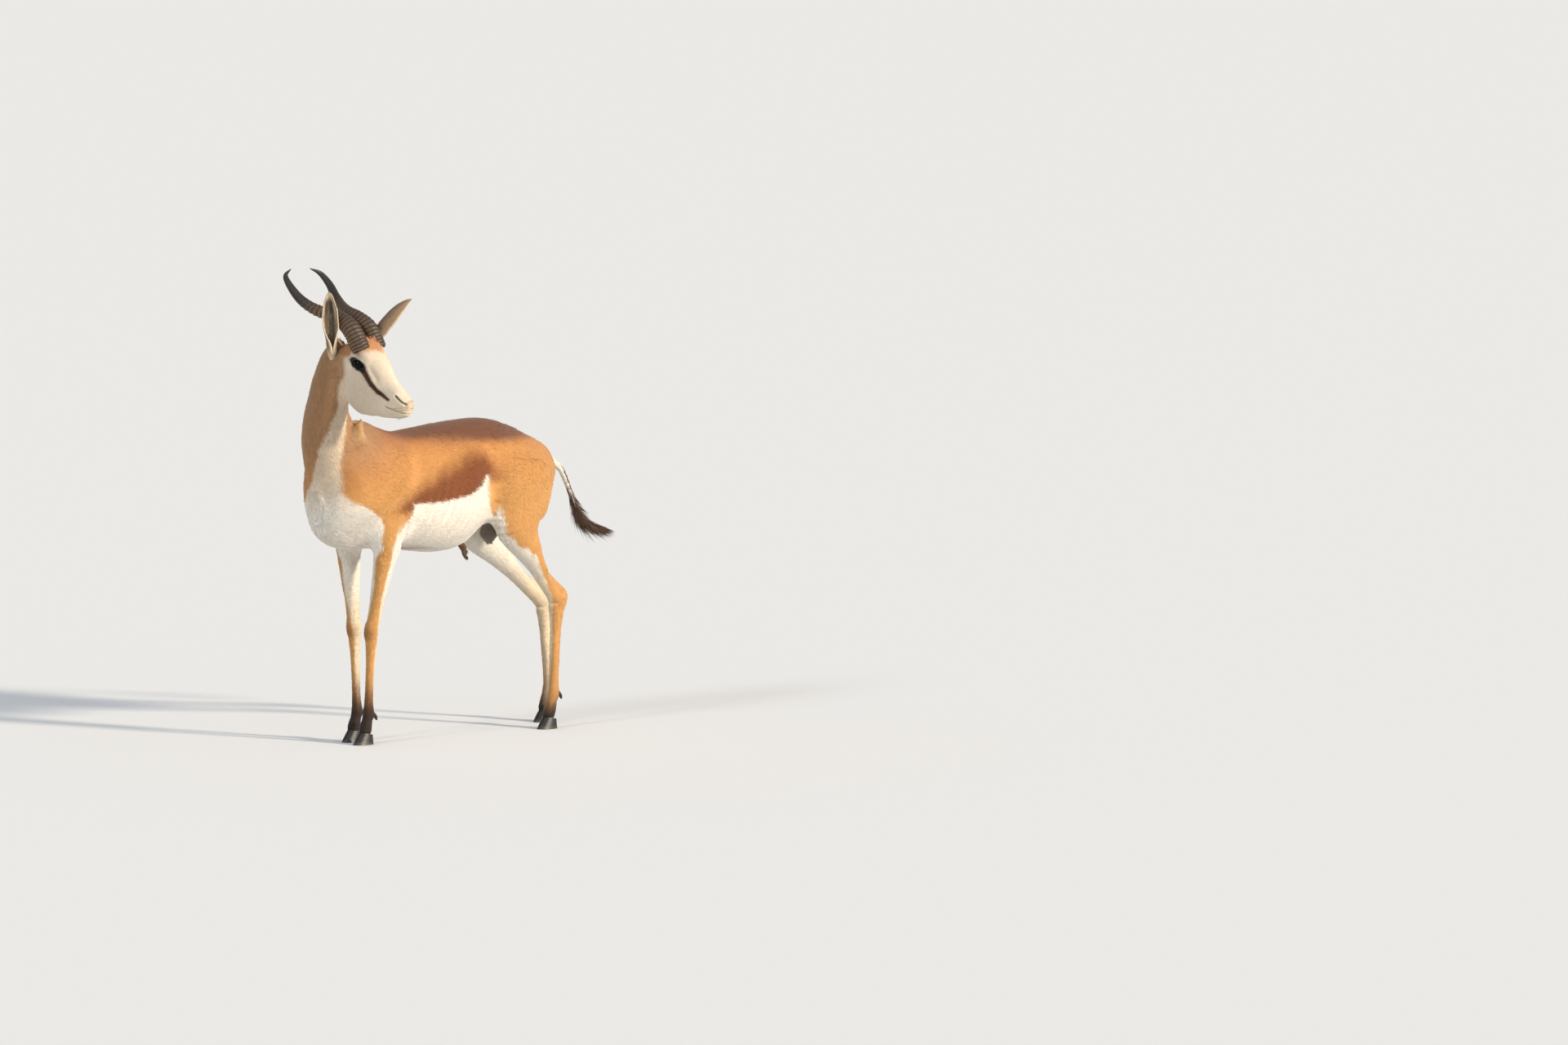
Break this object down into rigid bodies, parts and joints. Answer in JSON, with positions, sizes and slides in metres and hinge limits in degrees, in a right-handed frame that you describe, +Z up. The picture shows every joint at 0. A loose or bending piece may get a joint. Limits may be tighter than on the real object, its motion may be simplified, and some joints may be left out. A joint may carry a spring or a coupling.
{
  "type": "springbok",
  "caption": "Life-size standing springbok ram, head turned to its left, with curved ringed horns, upright ears, cloven hooves and a tufted tail.",
  "frame": {"origin": "on the floor under the middle of the animal's box", "axes": "+X the way the trunk faces, +Y the animal's left, +Z up"},
  "size_m": [1.0848, 0.4374, 1.2149],
  "materials": {
    "coat": "short, dense, smooth-lying hair",
    "face": "very short pale hair",
    "tail": "long coarse dark hair",
    "horn": "ringed dry horn",
    "eye": "wet gloss",
    "hoof": "smooth dry hoof horn"
  },
  "bodies": {
    "root": {"neck": "coat", "torso": "coat", "left_front_leg": "coat", "right_front_leg": "coat", "left_hind_leg": "coat", "right_hind_leg": "coat", "left_ear": "coat", "right_ear": "coat", "head": "face", "tail": "tail", "left_horn": "horn", "right_horn": "horn", "left_eye": "eye", "right_eye": "eye", "left_front_outer_hoof": "hoof", "left_front_inner_hoof": "hoof", "left_hind_outer_hoof": "hoof", "left_hind_inner_hoof": "hoof", "right_front_outer_hoof": "hoof", "right_front_inner_hoof": "hoof", "right_hind_outer_hoof": "hoof", "right_hind_inner_hoof": "hoof"}
  },
  "joints": []
}
